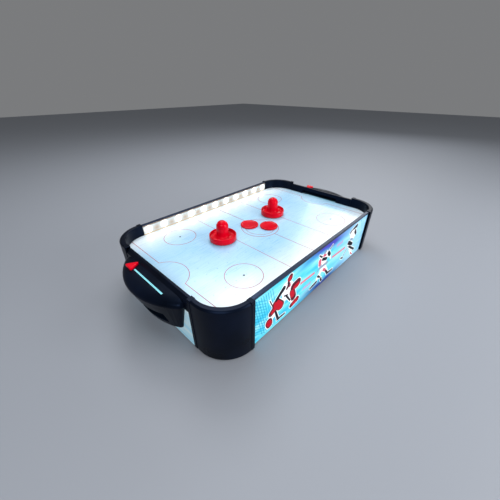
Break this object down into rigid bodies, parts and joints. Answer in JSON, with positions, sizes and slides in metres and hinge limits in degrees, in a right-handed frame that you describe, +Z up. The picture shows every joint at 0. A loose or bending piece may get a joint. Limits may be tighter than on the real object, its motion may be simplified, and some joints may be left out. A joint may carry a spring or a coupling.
{
  "type": "tabletop air hockey game",
  "caption": "Low rink-shaped game table with a perforated air field, lit long rails, end goals with score sliders, pushers and pucks.",
  "frame": {"origin": "middle of the rectangle round the object, on the surface it stands on", "axes": "+X along the table towards the right goal, +Y across it towards the rear long rail, +Z up"},
  "size_m": [0.502, 0.2782, 0.1053],
  "materials": {
    "field_board": "laminated board, satin, pale ice blue",
    "raw_board": "bare fibreboard",
    "batten_wood": "sawn softwood",
    "printed_panel": "paper print under a gloss film on board",
    "black_moulding": "injection moulded, satin, blue-black",
    "led_tape": "flexible circuit tape",
    "led_emitter": "lit LED package",
    "clear_lens": "clear extruded strip",
    "score_strip": "pale cyan printed strip",
    "red_moulding": "injection moulded, gloss red",
    "felt": "pressed felt",
    "black_fittings": "injection moulded",
    "motor_steel": "plated steel",
    "screw_steel": "zinc plated",
    "cell_wrap": "printed sleeve, plain",
    "circuit_board": "coated circuit board",
    "lead_sleeve": "soft sleeve",
    "foot_rubber": "moulded rubber"
  },
  "bodies": {
    "table": {"playfield": "field_board", "base_panel": "raw_board", "front_batten": "batten_wood", "back_batten": "batten_wood", "left_batten": "batten_wood", "right_batten": "batten_wood", "front_panel": "printed_panel", "back_panel": "printed_panel", "left_end_panel": "printed_panel", "right_end_panel": "printed_panel", "front_left_post": "black_moulding", "front_right_post": "black_moulding", "back_left_post": "black_moulding", "back_right_post": "black_moulding", "front_rail": "black_moulding", "back_rail": "black_moulding", "front_led_tape": "led_tape", "back_led_tape": "led_tape", "front_led_chips": "led_emitter", "back_led_chips": "led_emitter", "front_lens": "clear_lens", "back_lens": "clear_lens", "left_goal_deck": "black_moulding", "right_goal_deck": "black_moulding", "left_goal_bowl": "black_moulding", "right_goal_bowl": "black_moulding", "left_score_strip": "score_strip", "right_score_strip": "score_strip", "intake_grille": "black_fittings", "fan_frame": "black_fittings", "fan_motor": "motor_steel", "fan_screws": "screw_steel", "battery_tray": "black_fittings", "battery_contacts": "motor_steel", "battery_cells": "cell_wrap", "switch_housing": "black_fittings", "led_driver_board": "circuit_board", "battery_lead": "lead_sleeve", "fan_lead": "lead_sleeve", "front_led_lead": "lead_sleeve", "back_led_lead": "lead_sleeve", "rubber_feet": "foot_rubber", "base_screws": "screw_steel"},
    "left_score": {"left_score_slider": "red_moulding"},
    "right_score": {"right_score_slider": "red_moulding"},
    "left_striker": {"left_pusher": "red_moulding", "left_pusher_felt": "felt"},
    "right_striker": {"right_pusher": "red_moulding", "right_pusher_felt": "felt"},
    "puck_a": {"puck_1": "red_moulding"},
    "puck_b": {"puck_2": "red_moulding"},
    "impeller": {"fan_rotor": "black_fittings"},
    "door": {"battery_door": "black_fittings"},
    "rocker": {"switch_rocker": "red_moulding"}
  },
  "joints": [
    {"name": "left_score_slide", "type": "slide", "parent": "table", "child": "left_score", "axis": [0, 1, 0], "range_m": [-0.0762, 0.0002]},
    {"name": "right_score_slide", "type": "slide", "parent": "table", "child": "right_score", "axis": [0, 1, 0], "range_m": [-0.0762, 0.0002]},
    {"name": "left_pusher_slide", "type": "slide", "parent": "table", "child": "left_striker", "axis": [1, 0, 0], "range_m": [-0.105, 0]},
    {"name": "right_pusher_slide", "type": "slide", "parent": "table", "child": "right_striker", "axis": [1, 0, 0], "range_m": [0, 0.121]},
    {"name": "puck_1_slide", "type": "slide", "parent": "table", "child": "puck_a", "axis": [0, 1, 0], "range_m": [0, 0.088]},
    {"name": "puck_2_slide", "type": "slide", "parent": "table", "child": "puck_b", "axis": [0, 1, 0], "range_m": [-0.099, 0]},
    {"name": "fan_spin", "type": "hinge", "parent": "table", "child": "impeller", "pos_m": [0, 0, 0.02], "axis": [0, 0, 1], "continuous": true},
    {"name": "power_switch", "type": "hinge", "parent": "table", "child": "rocker", "pos_m": [0.12, 0.1326, 0.04], "axis": [1, 0, 0], "range_deg": [-16, 0]},
    {"name": "battery_door_slide", "type": "slide", "parent": "table", "child": "door", "axis": [0, 1, 0], "range_m": [0, 0.06]}
  ]
}
